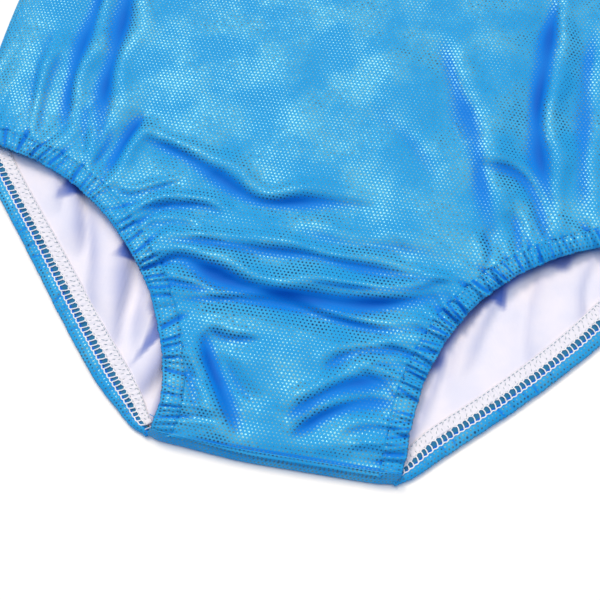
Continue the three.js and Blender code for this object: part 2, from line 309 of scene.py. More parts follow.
def gathers(along, inside, strength, seed):
    wander = 1.9 * np.sin(along / 9.3 + seed) + 1.0 * np.sin(along / 4.1 + 2 * seed)
    wander = wander + 0.28 * inside * np.sin(along / 6.1 + 5 * seed)
    uneven = 0.75 + 0.25 * np.sin(along / 14.7 + 3 * seed + 0.2 * inside)
    total = np.zeros(np.broadcast(along, inside).shape)
    for wavelength, height, reach in GATHERS:
        phase = 2 * np.pi * (along + wander) / wavelength + seed * wavelength
        total += height * np.sin(phase) * np.exp(-np.clip(inside, 0, None) / reach)
    return strength * uneven * total


def creases(along, inside, strength, seed, half):
    """How deep each point lies between the gathers on either side of it, 0 to 1; this sets the painted
    shade there.
    """
    here = gathers(along, inside, strength, seed)
    beside = gathers(along - half, inside, strength, seed) + gathers(along + half, inside, strength, seed)
    return np.clip(beside / 2 - here, 0, 1)


GROOVE = 0.2  # how far the topstitch draws the panel down along its hem
CREASE_SHADE = 0.75  # how much painted shade the cloth between two gathers gets
CREASE_REACH = 9.0  # how far this painted shade between the gathers runs into the panel
PINCH_SHARE = 0.42
PINCH_REACH = 15.0


def corner_pinch(points):
    """The back's hems narrow towards the crotch's corners."""
    away = np.hypot(np.abs(points[:, 0]) - CROTCH_HALF, points[:, 1])
    return 1 - PINCH_SHARE * bump(away / PINCH_REACH)


LINE_STEP = 0.4  # between the points of an opening's line
END_POINTS = 4  # left off each end of a neck or arm line, so that its hem stays inside the seams there
CROTCH_TRIM = 2.8  # the front's hems stop this far above the lower edge, inside the crotch seam's strip


class Opening:
    """One edge of an opening, on the front or the back, with how hard its elastic draws."""

    def __init__(self, name, line, draw, seed):
        self.name = name
        line = evenly(line, LINE_STEP)
        if "leg" not in name:
            line = line[END_POINTS:-END_POINTS]
        self.on_front = name.endswith("front")
        self.line = line[line[:, 1] > CROTCH_TRIM] if self.on_front else line
        self.coarse = evenly(line, 3.0)
        self.draw = draw
        self.seed = seed
        self.level = None  # the height of the hem's middle, set by make_hems
        self.inward = inward_of(self.line)
        self.run = distances(self.line)
        self.pinch = corner_pinch(self.line) if name.endswith("leg_back") else np.ones(len(self.line))

    def near(self, points):
        low = self.line.min(0) - GATHER_REACH
        high = self.line.max(0) + GATHER_REACH
        return np.all((points > low) & (points < high), axis=1)

    def at(self, along, inset):
        """Points at distances along the opening and in from its edge."""
        line = np.stack([np.interp(along, self.run, self.line[:, axis]) for axis in (0, 1)], 1)
        inward = np.stack([np.interp(along, self.run, self.inward[:, axis]) for axis in (0, 1)], 1)
        pinch = np.interp(along, self.run, self.pinch)
        return line + inward * np.reshape(inset * pinch, (-1, 1))

    def place(self, points, height):
        return (front_place if self.on_front else back_place)(points, height)

    def section(self):
        return FRONT_SECTION if self.on_front else BACK_SECTION


FRONT_OPENINGS = [
    Opening("left_leg_front", FRONT_LEG, 1.0, 1.0),
    Opening("right_leg_front", mirrored(FRONT_LEG), 1.0, 2.3),
    Opening("left_arm_front", ARM, 0.35, 3.1),
    Opening("right_arm_front", mirrored(ARM), 0.35, 4.4),
    Opening("neck_front", FRONT_NECK, 0.3, 5.2),
]
BACK_OPENINGS = [
    Opening("left_leg_back", BACK_LEG, 0.45, 6.1),
    Opening("right_leg_back", mirrored(BACK_LEG), 0.45, 7.7),
    Opening("left_arm_back", ARM, 0.3, 8.2),
    Opening("right_arm_back", mirrored(ARM), 0.3, 9.5),
    Opening("neck_back", BACK_NECK, 0.25, 10.9),
]

# ---- heights of the cloth ----

SEAM_HEIGHT = 3.1  # top of the front where it meets the back
LOFT = 5.7
CLOTH = 0.45
LINING_DROP = 1.3  # from the front shell to the lining under it
LINING_CLOTH = 0.3
BACK_SHELL_TOP = 0.75
LINING_REST = 1.35
LINING_LOWEST = BACK_SHELL_TOP + 0.35
LINING_HIGHEST = 4.4


def seam_rise(points):
    side = np.minimum(nearest(points, evenly(SIDE, 6))[0], nearest(points, evenly(mirrored(SIDE), 6))[0])
    crotch = points[:, 1]
    shoulder = LENGTH - points[:, 1]
    rise = 1 - np.exp(-(side + 1) / 15)
    rise *= 1 - np.exp(-(np.clip(crotch, 0, None) + 2) / 10)
    return rise * (1 - np.exp(-(np.clip(shoulder, 0, None) + 2) / 12))


CROTCH_STRIP = 5.2  # from the lower edge up to the crotch seam on the front


def crotch_seam_line(xs):
    """How high the crotch seam runs on the front, and how strongly it shows, 0 to 1, in the strip's shape
    and in the painted shade along it.
    """
    return CROTCH_STRIP - 1.4 * smoothstep((-xs - 5) / 40), smoothstep((xs + CROTCH_HALF - 10) / 18)


def front_surface(points):
    """Height of the front shell's outer face, and the painted shade of its folds, of the creases between
    its gathers and along its crotch seam.
    """
    height, shade = folded(points, FRONT_FOLDS)
    seam_y, seen = crotch_seam_line(points[:, 0])
    # Painted shade: a thin dark line along the crotch seam on the front.
    shade = np.maximum(shade, 0.6 * seen * bump((points[:, 1] - seam_y - 0.3) / 0.8))
    rise = seam_rise(points)
    height = SEAM_HEIGHT + rise * (LOFT + 0.5 * ripple(points, 46, 11)) + height * (0.35 + 0.65 * rise)
    for opening in FRONT_OPENINGS:
        near = opening.near(points)
        gap, along, _ = nearest(points[near], opening.coarse)
        height[near] += gathers(along, gap - HEM_WIDTH, opening.draw, opening.seed)
        height[near] -= GROOVE * bump((gap - HEM_WIDTH) / 0.9) * opening.draw
        # Painted shade in the creases between the gathers near the hem.
        crease = creases(along, gap - HEM_WIDTH, opening.draw, opening.seed, 2.6)
        crease *= CREASE_SHADE * np.exp(-np.clip(gap - HEM_WIDTH, 0, None) / CREASE_REACH)
        shade[near] = np.maximum(shade[near], crease)
    return height, shade


def back_lining_surface(points):
    """The lining lies on the back shell and stands up in soft wrinkles, which also get painted shade."""
    height, shade = folded(points, BACK_FOLDS)
    level = LINING_REST + 0.3 * (1 + ripple(points, 38, 21)) - height
    opening_gap = np.full(len(points), 1e9)
    for line in (BACK_LEG, mirrored(BACK_LEG)):
        opening_gap = np.minimum(opening_gap, nearest(points, evenly(line, 4))[0])
    calm = smoothstep((opening_gap - HEM_WIDTH - 1) / 8)
    level = LINING_REST + (level - LINING_REST) * calm
    return np.clip(level, LINING_LOWEST, LINING_HIGHEST), shade


def round_corners(points):
    """The elastic draws the crotch's corners in. The wearer's right one lifts off the lower edge too."""
    moved = points.copy()
    x, y = points.T
    for corner_x, pull, reach in ((-CROTCH_HALF, 2.2, 4.5), (CROTCH_HALF, 1.6, 6.0)):
        draw = pull * bump(np.hypot(x - corner_x, y) / reach)
        moved[:, 0] -= 0.80 * np.sign(corner_x) * draw
        moved[:, 1] += 0.60 * draw
    moved[:, 0] -= 1.5 * bump(np.hypot(x + CROTCH_HALF, y) / 12)
    moved[:, 1] += 3.0 * smoothstep((-x - 5) / 45) * bump(y / 16)
    return moved


def front_place(points, height):
    """From the cut to the world: the loft lets the front slump a little towards the crotch."""
    x, y = round_corners(points).T
    drift = 1.6 * bump((y - 20) / 22) - 1.8 * bump((y - 92) / 30)
    slump = 0.42 * (height - SEAM_HEIGHT) * smoothstep((260 - y) / 120) * smoothstep((y + 10) / 30)
    return np.stack([x + drift, y + FOOT - slump, height], axis=1) * MM


def back_place(points, height):
    """From the cut to the world, with the back's own sway to the side."""
    x, y = round_corners(points).T
    drift = 3.0 * bump((y - 75) / 35) - 1.6 * bump((y - 16) / 16)
    return np.stack([x + drift, y + FOOT, height], axis=1) * MM


# ---- meshes ----


def new_mesh(name, vertices, faces, flat=None, fold=0.0):
    """A smooth mesh. Cloth also has its place on the cut, and at each point its painted shade, which on a
    back hem's raw edge gives way to the mark of the foil's wrong side.
    """
    mesh = bpy.data.meshes.new(name)
    mesh.from_pydata(vertices.tolist(), [], faces.tolist() if hasattr(faces, "tolist") else faces)
    if flat is not None:
        layer = mesh.uv_layers.new(name="flat")
        loops = np.zeros(len(mesh.loops), np.int32)
        mesh.loops.foreach_get("vertex_index", loops)
        layer.data.foreach_set("uv", (flat[loops] * MM).astype(np.float32).ravel())
        attribute = mesh.attributes.new("fold", "FLOAT", "POINT")
        attribute.data.foreach_set("value", np.full(len(vertices), fold, np.float32))
    mesh.shade_smooth()
    mesh.update()
    piece = bpy.data.objects.new(name, mesh)
    bpy.context.scene.collection.objects.link(piece)
    return piece


def finish_piece(piece, material, nodes, thickness=None, body="garment"):
    piece.data.materials.append(material)
    if thickness:
        solid = piece.modifiers.new("cloth", "SOLIDIFY")
        solid.thickness = thickness * MM
        solid.offset = -1
    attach(piece, body)
    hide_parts(*nodes)
    return piece


def grid_faces(rows, columns):
    """Quads over a grid of points. They face up where its columns go right of its rows' way."""
    index = np.arange(rows * columns).reshape(rows, columns)
    return np.stack([index[:-1, :-1], index[:-1, 1:], index[1:, 1:], index[1:, :-1]], -1).reshape(-1, 4)


def grid_points(xs, ys):
    return np.stack(np.meshgrid(xs, ys), -1).reshape(-1, 2)


def strip_mesh(name, rows, flats, shades=0.0):
    """A strip from the lines that run along it: their points, places on the cut and painted shade."""
    points = np.stack(rows, 1)
    shades = np.stack(shades, 1).ravel() if np.ndim(shades) else shades
    return new_mesh(name, points.reshape(-1, 3), grid_faces(*points.shape[:2]),
                    np.stack(flats, 1).reshape(-1, 2), shades)


def tube_faces(rows, columns):
    index = np.arange(rows * columns).reshape(rows, columns)
    index = np.hstack([index, index[:, :1]])
    return np.stack([index[:-1, :-1], index[1:, :-1], index[1:, 1:], index[:-1, 1:]], -1).reshape(-1, 4)


def inside_line(points, line):
    """Which points lie inside a closed line."""
    x, y = points.T
    inside = np.zeros(len(points), bool)
    for (x0, y0), (x1, y1) in zip(line, np.roll(line, -1, axis=0)):
        if y0 == y1:
            continue
        crosses = (y0 > y) != (y1 > y)
        inside ^= crosses & (x < (x1 - x0) * (y - y0) / (y1 - y0) + x0)
    return inside


def panel_cut(leg, neck, pitch, margins):
    """The quads of a fine square grid that lie on the panel, less a margin along its openings and seams."""
    edge = outline(leg, neck)
    border = evenly(np.vstack([edge, edge[:1]]), 3.0)
    xs = np.arange(-HIP_HALF - pitch, HIP_HALF + 2 * pitch, pitch)
    ys = np.arange(margins["crotch"], LENGTH + pitch, pitch)
    grid = grid_points(xs, ys)
    keep = inside_line(grid, border)
    depth = np.full(len(grid), -1.0)
    depth[keep] = 1e9
    for line, margin in margins["lines"]:
        gap = nearest(grid[keep], evenly(line, 4))[0]
        pinch = corner_pinch(grid[keep]) if leg is BACK_LEG else 1.0
        depth[keep] = np.minimum(depth[keep], gap - margin * pinch)
    live = depth >= 0
    faces = grid_faces(len(ys), len(xs))
    faces = faces[live[faces].all(axis=1)]
    used, compact = np.unique(faces, return_inverse=True)
    return grid[used], compact.reshape(-1, 4)


HEM_OVERLAP = 0.6  # how far a panel runs in under its hems
SEAM_MARGIN = 1.2


def panel_margins(leg, neck, crotch):
    """How far a panel stays inside its cut, along each of its edges."""
    openings = [leg, mirrored(leg), ARM, mirrored(ARM), neck]
    seams = [SIDE, mirrored(SIDE), SHOULDER, mirrored(SHOULDER)]
    lines = [(line, HEM_WIDTH - HEM_OVERLAP) for line in openings] + [(line, SEAM_MARGIN) for line in seams]
    return {"crotch": crotch, "lines": lines}


# ---- materials ----


class Shader:
    """A node material built up step by step round one Principled shader."""

    def __init__(self, name, roughness, **fixed):
        self.material = bpy.data.materials.new(name)
        self.material.use_nodes = True
        self.tree = self.material.node_tree
        self.principled = self.tree.nodes["Principled BSDF"]
        self.principled.inputs["Roughness"].default_value = roughness
        for socket, value in fixed.items():
            self.principled.inputs[socket.replace("_", " ")].default_value = value

    def node(self, kind, *values, **settings):
        """A node with its settings, and with values or links for its first sockets."""
        node = self.tree.nodes.new(kind)
        for key, value in settings.items():
            setattr(node, key, value)
        for value, socket in zip(values, node.inputs):
            self.link(value, socket)
        return node

    def link(self, source, target):
        if hasattr(source, "links"):
            self.tree.links.new(source, target)
        else:
            target.default_value = source

    def math(self, operation, *values):
        return self.node("ShaderNodeMath", *values, operation=operation).outputs[0]

    def vector(self, operation, *values, scale=None):
        node = self.node("ShaderNodeVectorMath", *values, operation=operation)
        if scale is not None:
            self.link(scale, node.inputs["Scale"])
        return node.outputs["Value" if operation == "LENGTH" else "Vector"]

    def mix(self, share, first, second):
        node = self.node("ShaderNodeMix", data_type="RGBA")
        for value, socket in zip((share, first, second), (node.inputs[0], node.inputs[6], node.inputs[7])):
            self.link(value, socket)
        return node.outputs[2]

    def noise(self, coordinates, scale, detail=2.0):
        node = self.node("ShaderNodeTexNoise", coordinates)
        node.inputs["Scale"].default_value = scale
        node.inputs["Detail"].default_value = detail
        return node.outputs["Fac"]

    def range(self, value, low, high, start=0.0, end=1.0):
        steps = (value, low, high, start, end)
        return self.node("ShaderNodeMapRange", *steps, interpolation_type="SMOOTHSTEP").outputs[0]

    def bump(self, height, distance, strength=1.0):
        node = self.node("ShaderNodeBump")
        node.inputs["Distance"].default_value = distance
        node.inputs["Strength"].default_value = strength
        self.link(height, node.inputs["Height"])
        return node

    def flat(self):
        """Place on the cut, in metres."""
        return self.node("ShaderNodeUVMap", uv_map="flat").outputs[0]

    def place(self):
        return self.node("ShaderNodeTexCoord").outputs["Object"]

    def attribute(self, name):
        return self.node("ShaderNodeAttribute", attribute_name=name).outputs["Fac"]

    def wave(self, coordinates, wavelength, direction, distortion=0.0):
        node = self.node("ShaderNodeTexWave", coordinates, bands_direction=direction)
        node.inputs["Scale"].default_value = 0.314159 / wavelength
        node.inputs["Distortion"].default_value = distortion
        return node.outputs["Fac"]


def hexagonal_dots(shader, pitch, radius, wobble, growth):
    """Foil dots on a triangular lattice: the mask of the dots, and a random vector for each."""
    cell = (1.0, 3 ** 0.5, 1.0)
    drift = shader.node("ShaderNodeTexNoise", shader.flat())
    drift.inputs["Scale"].default_value = 80.0
    swing = shader.vector("SUBTRACT", drift.outputs["Color"], (0.5, 0.5, 0.5))
    place = shader.vector("SCALE", shader.flat(), scale=1 / (pitch * MM))
    place = shader.vector("ADD", place, shader.vector("SCALE", swing, scale=wobble))
    lattices = []
    for shift in (0.0, 0.5):
        share = shader.vector("ADD", shader.vector("DIVIDE", place, cell), (shift, shift, 0.0))
        centre = shader.vector("FLOOR", shader.vector("ADD", share, (0.5, 0.5, 0.5)))
        offset = shader.vector("MULTIPLY", shader.vector("SUBTRACT", share, centre), cell)
        offset = shader.vector("MULTIPLY", offset, (1.0, 1.0, 0.0))
        own_cell = shader.vector("ADD", centre, (shift * 31, 0.0, 0.0))
        lattices.append((shader.vector("LENGTH", offset), own_cell))
    (near, near_cell), (far, far_cell) = lattices
    distance = shader.math("MINIMUM", near, far)
    nearer = shader.math("LESS_THAN", far, near)
    cell_of = shader.node("ShaderNodeMix", data_type="VECTOR")
    shader.link(nearer, cell_of.inputs[0])
    shader.link(near_cell, cell_of.inputs[4])
    shader.link(far_cell, cell_of.inputs[5])
    random = shader.node("ShaderNodeTexWhiteNoise", cell_of.outputs[1])
    size = shader.range(random.outputs["Value"], 0.0, 1.0, radius * 0.85, radius * 1.1)
    edge = shader.math("SUBTRACT", distance, shader.math("MULTIPLY", size, growth))
    return shader.range(edge, -0.09, 0.09, 1.0, 0.0), random.outputs["Color"]


FOIL_BASE = (0.016, 0.318, 0.705, 1)
FOIL_LIGHT = (0.045, 0.405, 0.760, 1)
# The next two colours are painted shade: the foil in its folds, and in the deepest of them.
FOIL_PAINTED_SHADE = (0.002, 0.205, 0.720, 1)
FOIL_PAINTED_DEEP_SHADE = (0.001, 0.110, 0.540, 1)
FOIL_DOT = (0.095, 0.210, 0.280, 1)
FOIL_WRONG_SIDE = (0.020, 0.160, 0.330, 1)
DOT_PITCH = 1.58


def foil_knit(name, tightness=1.0):
    """Sky-blue stretch knit with mirror-like foil dots; painted shade darkens it in its folds and hides the
    dots in the deepest.
    """
    shader = Shader(name, 0.5, Sheen_Weight=0.02, Sheen_Roughness=0.4, Sheen_Tint=(0.1, 0.6, 1, 1),
                    IOR=1.45, Specular_IOR_Level=0.12)
    fold = shader.attribute("fold")
    mottle = shader.noise(shader.flat(), 45.0, 3.0)
    growth = shader.range(mottle, 0.38, 0.62, 0.70, 1.10)
    dots, random = hexagonal_dots(shader, DOT_PITCH * tightness, 0.250, 0.60, growth)
    # Painted shade from the mesh's attribute: the dots fade out and the ground darkens through the two
    # painted shade colours.
    outside_painted_shade = shader.range(fold, 0.30, 0.75, 1.0, 0.0)
    dots = shader.math("MULTIPLY", dots, outside_painted_shade)
    ground = shader.mix(shader.range(mottle, 0.35, 0.7), FOIL_BASE, FOIL_LIGHT)
    ground = shader.mix(shader.range(fold, 0.05, 0.55), ground, FOIL_PAINTED_SHADE)
    ground = shader.mix(shader.range(fold, 0.5, 1.0), ground, FOIL_PAINTED_DEEP_SHADE)
    ground = shader.mix(shader.range(fold, 1.3, 1.7), ground, FOIL_WRONG_SIDE)
    shader.link(shader.mix(dots, ground, FOIL_DOT), shader.principled.inputs["Base Color"])
    shader.link(dots, shader.principled.inputs["Metallic"])
    shader.link(shader.range(dots, 0.0, 1.0, 0.6, 0.32), shader.principled.inputs["Roughness"])
    knit = shader.wave(shader.flat(), 0.42 * MM, "X", 0.6)
    swell = shader.noise(shader.flat(), 30.0, 1.0)
    relief = shader.bump(shader.math("ADD", knit, shader.math("MULTIPLY", dots, 0.6)), 0.00005, 0.4)
    shader.link(shader.bump(swell, 0.0032, 1.0).outputs[0], relief.inputs["Normal"])
    tilt = shader.vector("SCALE", shader.vector("SUBTRACT", random, (0.5, 0.5, 0.5)), scale=0.12)
    tilt = shader.vector("SCALE", tilt, scale=dots)
    normal = shader.vector("NORMALIZE", shader.vector("ADD", relief.outputs[0], tilt))
    shader.link(normal, shader.principled.inputs["Normal"])
    return shader.material


def lining_knit():
    """Matte white tricot, with painted blue shadow where the front lies over it and painted shade in its
    wrinkles.
    """
    shader = Shader("lining_knit", 0.8, Sheen_Weight=0.15, Sheen_Roughness=0.5)
    white = (0.74, 0.75, 0.90, 1)
    warm = (0.82, 0.80, 0.91, 1)
    mottle = shader.noise(shader.flat(), 60.0, 3.0)
    ground = shader.mix(shader.range(mottle, 0.3, 0.7), white, warm)
    # Painted shadow: the lining turns blue by the mesh's painted shade attribute, under the front's edge
    # and in its wrinkles.
    painted_shadow = shader.mix(shader.attribute("fold"), ground, (0.05, 0.12, 0.48, 1))
    shader.link(painted_shadow, shader.principled.inputs["Base Color"])
    knit = shader.wave(shader.flat(), 0.5 * MM, "X", 0.8)
    shader.link(shader.bump(knit, 0.00006, 0.4).outputs[0], shader.principled.inputs["Normal"])
    return shader.material


def woven(name, light, dark, roughness, rib):
    """A plain textile: fine ribs across it and a slight unevenness of colour."""
    shader = Shader(name, roughness, Sheen_Weight=0.2, Sheen_Roughness=0.5)
    mottle = shader.noise(shader.place(), 400.0, 3.0)
    shader.link(shader.mix(mottle, dark, light), shader.principled.inputs["Base Color"])
    ribs = shader.wave(shader.place(), rib * MM, "DIAGONAL", 1.0)
    shader.link(shader.bump(ribs, 0.00008, 0.6).outputs[0], shader.principled.inputs["Normal"])
    return shader.material


FOIL = foil_knit("foil_knit")
FOIL_HEM = foil_knit("foil_knit_gathered", 1.15)
LINING = lining_knit()
COTTON = woven("gusset_cotton", (0.90, 0.88, 0.85, 1), (0.82, 0.80, 0.77, 1), 0.9, 0.7)
ELASTIC = woven("white_elastic", (0.80, 0.80, 0.88, 1), (0.70, 0.70, 0.82, 1), 0.7, 0.9)
BLUE_THREAD = woven("blue_thread", (0.03, 0.34, 0.72, 1), (0.01, 0.25, 0.62, 1), 0.5, 0.3)
WHITE_THREAD = woven("white_thread", (0.95, 0.95, 0.97, 1), (0.80, 0.82, 0.88, 1), 0.5, 0.3)
GREY_THREAD = woven("grey_thread", (0.52, 0.60, 0.66, 1), (0.34, 0.43, 0.50, 1), 0.6, 0.3)
SATIN = woven("label_satin", (0.86, 0.86, 0.84, 1), (0.76, 0.76, 0.75, 1), 0.4, 0.25)

# ---- the panels ----


def make_front():
    margins = panel_margins(FRONT_LEG, FRONT_NECK, 2.6)
    points, faces = panel_cut(FRONT_LEG, FRONT_NECK, 1.05, margins)
    height, shade = front_surface(points)
    shell = new_mesh("front_shell_cloth", front_place(points, height), faces, points, shade)
    finish_piece(shell, FOIL, ["front_shell"], CLOTH)
    points, faces = panel_cut(FRONT_LEG, FRONT_NECK, 2.5, margins)
    height, shade = front_surface(points)
    under = front_place(points, height)
    under[:, 2] -= LINING_DROP * MM
    lining = new_mesh("front_lining_cloth", under, faces, points)
    finish_piece(lining, LINING, ["front_lining"], LINING_CLOTH)
    return shell, lining


# Where the front's painted blue shadow reaches further out over the lining: x, y, reach, width and slant.
PAINTED_SHADOW_REACHES = [(-103, 105, 12.0, 4.5, 0.35), (-72, 82, 12.0, 5.0, 0.2), (-47, 62, 5.5, 8.0, 0.2),
                (-50, 55, 14.0, 5.0, -1.6), (76, 83, 6.0, 3.0, 0.35), (55, 52, 2.5, 4.0, 0.35),
                (100, 104, 4.5, 5.0, 0.35), (-88, 96, 2.5, 3.0, 0.35)]
SAME_SIDE = 30.0  # a patch of painted shadow nearer than this to a leg's line belongs to it
UNDER_HEM = 14.0  # past this the lining is out of sight


def painted_front_shadow(points):
    """How much painted blue shadow the front's leg hem puts on the lining, 0 in the open and 1 under the
    hem.
    """
    shadow = np.ones(len(points))
    for line in (FRONT_LEG, mirrored(FRONT_LEG)):
        line = evenly(line, 3)
        gap, along, side = nearest(points, line)
        reach = 1.0
        for x, y, out, width, slant in PAINTED_SHADOW_REACHES:
            away, place, _ = nearest(np.array([[x, y]], float), line)
            reach = reach + (away[0] < SAME_SIDE) * out * bump((along + slant * gap - place[0]) / width)
        blue = smoothstep((gap * side + reach) / np.maximum(4.5, 0.6 * reach))
        shadow = np.minimum(shadow, blue + (side > 0) * (gap > UNDER_HEM))
    return shadow * smoothstep((LEG_RISE + 40 - points[:, 1]) / 20)


def make_back():
    margins = panel_margins(BACK_LEG, BACK_NECK, 2.0)
    points, faces = panel_cut(BACK_LEG, BACK_NECK, 2.5, margins)
    top = np.full(len(points), BACK_SHELL_TOP) + 0.1 * ripple(points, 50, 31)
    shell = new_mesh("back_shell_cloth", back_place(points, top), faces, points)
    finish_piece(shell, FOIL, ["back_shell"], CLOTH)
    points, faces = panel_cut(BACK_LEG, BACK_NECK, 1.5, margins)
    height, shade = back_lining_surface(points)
    # Painted shade on the lining: the front's blue shadow over it, and shade in its wrinkles.
    painted_lining_shade = np.clip(0.85 * painted_front_shadow(points) + 0.55 * shade, 0, 1)
    lining = new_mesh("back_lining_cloth", back_place(points, height), faces, points, painted_lining_shade)
    finish_piece(lining, LINING, ["back_lining"], LINING_CLOTH)
    return shell, lining


# ---- hems: the cloth folded over the elastic and back under itself ----

# Across the hem: how far in from the edge, and how far up from the hem's middle, as shares.
UNDERSIDE = [(0.0, 0.0), (0.06, -0.4), (0.18, -0.8), (0.4, -1.0), (0.7, -1.0), (1.0, -1.0)]
FRONT_SECTION = [(1.12, 0.86), (1.0, 1.0), (0.88, 1.05), (0.7, 1.12), (0.5, 1.15),
                 (0.3, 1.02), (0.15, 0.72), (0.05, 0.32)] + UNDERSIDE
BACK_SECTION = [(1.02, 0.75), (0.95, 0.85), (0.75, 0.95), (0.55, 1.0), (0.4, 1.05),
                (0.25, 0.95), (0.12, 0.65), (0.04, 0.3)] + UNDERSIDE
RAW_EDGE = (4.5, 8.2)  # the strip of a back hem, in from the edge, where the overlock covers it
INSIDE_OUT = 2.0  # the value of the painted shade attribute that marks the wrong side of the foil cloth instead


def hem_top(section, inset):
    """How far the hem's upper face stands above its middle, at a distance in from the edge."""
    upper = np.array(section[:section.index((0.0, 0.0)) + 1])[::-1]
    return np.interp(np.asarray(inset) / HEM_WIDTH, upper[:, 0], upper[:, 1]) * HEM_THICKNESS / 2


def hem_ruche(opening, along, inset):
    """The gathers go on over the hem, slanting and fading a little towards its edge."""
    fade = 0.8 + 0.2 * np.sin(along / 2.9 + inset / 2.2 + opening.seed)
    return fade * gathers(along, np.minimum(inset - HEM_WIDTH, 0), opening.draw, opening.seed)


def hem_mesh(name, opening):
    """The folded strip along an opening."""
    section = np.array(opening.section())
    line, inward, run = opening.line, opening.inward, opening.run
    rows, columns = len(line), len(section)
    inset = section[None, :, 0] * HEM_WIDTH
    upper = np.clip(section[None, :, 1] + 0.2, 0, 1)
    ruche = hem_ruche(opening, np.repeat(run[:, None], columns, 1), np.repeat(inset, rows, 0))
    sway = 0.30 * ruche * bump(section[None, :, 0] / 0.2)
    points = line[:, None, :] + inward[:, None, :] * ((inset + sway) * opening.pinch[:, None])[:, :, None]
    height = opening.level[:, None] + HEM_THICKNESS / 2 * section[None, :, 1] + ruche * upper
    height = np.clip(height, CLOTH + 0.05, None)
    flat = np.stack([np.repeat(run[:, None] * (1 + 0.25 * opening.draw), columns, 1),
                     np.repeat(inset * np.sign(section[None, :, 1] + 0.1), rows, 0)], -1)
    # Painted shade in the creases between the gathers, on the hem's upper face.
    valley = creases(run[:, None], inset - HEM_WIDTH, opening.draw, opening.seed, 1.5)
    shade = 0.7 * valley * upper
    if not opening.on_front:
        raw = (inset > RAW_EDGE[0]) & (section[None, :, 1] > 0)
        shade = np.where(raw, INSIDE_OUT, shade)
    return new_mesh(name, opening.place(points.reshape(-1, 2), height.ravel()), grid_faces(rows, columns),
                    flat.reshape(-1, 2), shade.ravel())


def front_level(opening):
    """The height of the hem's middle, all along, so that its upper face runs on into the panel."""
    edge = front_surface(opening.line + opening.inward * HEM_WIDTH)[0]
    ruche = gathers(opening.run, np.zeros(len(opening.run)), opening.draw, opening.seed)
    return edge - ruche + GROOVE * opening.draw - hem_top(FRONT_SECTION, HEM_WIDTH)


def back_level(opening):
    return np.full(len(opening.run), HEM_THICKNESS / 2 + CLOTH)


def make_hems():
    made = []
    for opening in FRONT_OPENINGS + BACK_OPENINGS:
        opening.level = front_level(opening) if opening.on_front else back_level(opening)
        hem = hem_mesh(f"{opening.name}_hem_cloth", opening)
        made.append(finish_piece(hem, FOIL_HEM, [f"{opening.name}_hem"], CLOTH))
    return made


# ---- threads ----


def tubes(name, paths, radius, sides=6):
    """One mesh of round threads, each along its own points, in metres."""
    angles = np.arange(sides) * 2 * np.pi / sides
    vertices, faces, base = [], [], 0
    for path in paths:
        path = np.asarray(path)
        ahead = np.gradient(path, axis=0)
        ahead /= np.linalg.norm(ahead, axis=1)[:, None] + 1e-12
        across = np.cross(ahead, [0.0, 0.0, 1.0])
        flat_run = np.linalg.norm(across, axis=1) < 1e-6
        across[flat_run] = [1.0, 0.0, 0.0]
        across /= np.linalg.norm(across, axis=1)[:, None]
        upward = np.cross(across, ahead)
        ring = (across[:, None, :] * np.cos(angles)[None, :, None]
                + upward[:, None, :] * np.sin(angles)[None, :, None]) * radius * MM
        ring[0] *= 0.4
        ring[-1] *= 0.4
        vertices.append((path[:, None, :] + ring).reshape(-1, 3))
        faces += (tube_faces(len(path), sides) + base).tolist()
        faces.append([base + k for k in range(sides)])
        last = base + (len(path) - 1) * sides
        faces.append([last + k for k in reversed(range(sides))])
        base += len(path) * sides
    return new_mesh(name, np.vstack(vertices), faces)


def on_hem(opening, along, inset, lift):
    """Points on a hem's upper face, at distances along the opening and in from its edge."""
    inset = np.broadcast_to(inset, along.shape)
    level = np.interp(along, opening.run, opening.level)
    ruche = hem_ruche(opening, along, inset)
    return opening.place(opening.at(along, inset), level + hem_top(opening.section(), inset) + ruche + lift)


STITCH_PITCH = 2.4
STITCH_SHARE = 0.75  # of the pitch that a stitch lies on top for
STITCH_INSET = HEM_WIDTH * 0.94
STITCH_RADIUS = 0.16


def stitch_row(opening):
    """Separate stitches in a row, each a short arch of thread."""
    paths = []
    for start in np.arange(opening.run[0] + 3, opening.run[-1] - 3, STITCH_PITCH):
        along = start + STITCH_PITCH * STITCH_SHARE * np.linspace(0, 1, 6)
        arch = 0.18 * np.sin(np.linspace(0, np.pi, 6)) - 0.12
        paths.append(on_hem(opening, along, STITCH_INSET, arch))
    return paths


def loose_end(opening):
    """The thread's tail, left hanging into the leg opening near the crotch."""
    share = np.linspace(0, 1, 14)
    along = opening.run[-1] - 6.0 - 2.0 * share
    inset = 1.0 - 2.8 * share + 0.6 * np.sin(4.5 * share)
    return on_hem(opening, along, inset, 0.1 - 0.8 * share)


def make_front_stitches():
    made = []
    for opening in FRONT_OPENINGS:
        rows = stitch_row(opening)
        if opening.name == "right_leg_front":
            rows.append(loose_end(opening))
        thread = tubes(f"{opening.name}_topstitch", rows, STITCH_RADIUS)
        made.append(finish_piece(thread, BLUE_THREAD, [f"{opening.name}_stitches"]))
    return made


LADDER_PITCH = 2.4
LADDER_INSETS = (4.6, 7.9)
LADDER_RADIUS = 0.29


